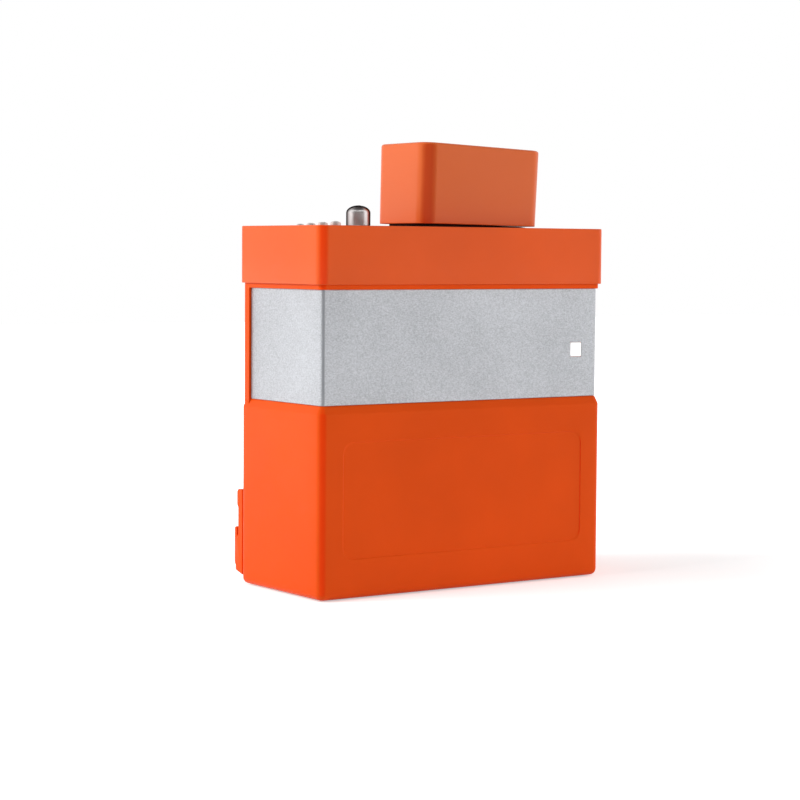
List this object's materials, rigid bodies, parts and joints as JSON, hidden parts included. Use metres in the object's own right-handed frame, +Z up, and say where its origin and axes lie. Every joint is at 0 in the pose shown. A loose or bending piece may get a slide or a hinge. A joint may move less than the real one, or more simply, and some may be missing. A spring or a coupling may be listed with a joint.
{
  "type": "defibrillator",
  "caption": "Portable defibrillator: orange case with a silver band, overhanging deck with push buttons and a domed energy knob, and a hand paddle parked on top.",
  "frame": {"origin": "bottom centre of the whole object's box, on the surface it stands on; the case itself lies 9.15 mm towards -Y of it because the lead hooks stand out behind", "axes": "+Z up, front face towards -Y, +X to the viewer's right seen from the front"},
  "size_m": [0.29, 0.1454, 0.3698],
  "materials": {
    "orange_shell": "satin",
    "silver_band": "satin",
    "steel": "satin",
    "chrome": "polished",
    "black_rubber": "matte",
    "black_plastic": "satin",
    "grey_plastic": "matte",
    "dial_metal": "satin",
    "brass": "satin",
    "circuit_board": "satin",
    "aluminium_sheet": "matte",
    "can_metal": "satin",
    "copper_winding": "satin",
    "core_iron": "matte",
    "relay_case": "satin",
    "anodised_black": "matte",
    "lens_white": "gloss",
    "lamp_white": "gloss"
  },
  "bodies": {
    "case": {"case_tub": "orange_shell", "deck_cover": "orange_shell", "lead_hook_left": "orange_shell", "lead_hook_right": "orange_shell", "side_band": "silver_band", "deck_gasket": "black_rubber", "paddle_rest_pad": "black_rubber", "foot_front_left": "black_rubber", "foot_rear_left": "black_rubber", "foot_front_right": "black_rubber", "foot_rear_right": "black_rubber", "deck_screw_front_left": "steel", "deck_screw_rear_left": "steel", "deck_screw_front_right": "steel", "deck_screw_rear_right": "steel", "dial_plate": "dial_metal", "shaft_nut": "brass", "bay_contact_minus": "brass", "bay_contact_plus": "brass", "test_contact_leaf": "brass", "rotary_switch": "grey_plastic", "electrode_sleeve": "grey_plastic", "battery_bay": "grey_plastic", "switch_power": "black_plastic", "switch_charge": "black_plastic", "switch_sync": "black_plastic", "switch_discharge": "black_plastic", "inductor_plug": "black_plastic", "paddle_socket": "black_plastic", "back_electrode_socket": "black_plastic", "charger_inlet": "black_plastic", "control_board": "circuit_board", "main_board": "circuit_board", "chassis_shelf": "aluminium_sheet", "capacitor_clamp": "aluminium_sheet", "storage_capacitor": "can_metal", "discharge_inductor": "copper_winding", "transformer_winding": "copper_winding", "transformer_core": "core_iron", "patient_relay": "relay_case", "heat_sink": "anodised_black", "status_lens": "lens_white", "status_lamp": "lamp_white"},
    "knob": {"energy_knob": "chrome", "knob_shaft": "steel"},
    "power_button": {"button_power": "chrome"},
    "charge_button": {"button_charge": "chrome"},
    "sync_button": {"button_sync": "chrome"},
    "discharge_button": {"button_discharge": "chrome"},
    "paddle": {"paddle_shell": "orange_shell", "paddle_base": "black_plastic", "paddle_electrode": "steel", "paddle_switch": "black_plastic", "paddle_lead_bush": "black_rubber"},
    "thumb_button": {"paddle_button": "black_plastic"},
    "back_electrode": {"back_electrode_holder": "black_plastic", "back_electrode_plate": "steel"},
    "battery": {"battery_pack": "black_plastic"}
  },
  "joints": [
    {"name": "energy_select", "type": "hinge", "parent": "case", "child": "knob", "pos_m": [-0.0742, -0.01915, 0.3], "axis": [0, 0, 1], "range_deg": [0, 270]},
    {"name": "power_press", "type": "slide", "parent": "case", "child": "power_button", "axis": [0, 0, -1], "range_m": [0, 0.0015], "stiffness_N_per_m": 600, "springref_m": -0.002},
    {"name": "charge_press", "type": "slide", "parent": "case", "child": "charge_button", "axis": [0, 0, -1], "range_m": [0, 0.0015], "stiffness_N_per_m": 600, "springref_m": -0.002},
    {"name": "sync_press", "type": "slide", "parent": "case", "child": "sync_button", "axis": [0, 0, -1], "range_m": [0, 0.0015], "stiffness_N_per_m": 600, "springref_m": -0.002},
    {"name": "discharge_press", "type": "slide", "parent": "case", "child": "discharge_button", "axis": [0, 0, -1], "range_m": [0, 0.0015], "stiffness_N_per_m": 600, "springref_m": -0.002},
    {"name": "paddle_lift", "type": "slide", "parent": "case", "child": "paddle", "axis": [0.0349, 0, 0.9994], "range_m": [0, 0.15]},
    {"name": "paddle_fire", "type": "slide", "parent": "paddle", "child": "thumb_button", "axis": [-0.0349, 0, -0.9994], "range_m": [0, 0.002], "stiffness_N_per_m": 700, "springref_m": -0.002},
    {"name": "back_electrode_lift", "type": "slide", "parent": "case", "child": "back_electrode", "axis": [0, 0, 1], "range_m": [0, 0.14]},
    {"name": "battery_slide", "type": "slide", "parent": "case", "child": "battery", "axis": [0, 1, 0], "range_m": [0, 0.09]}
  ]
}
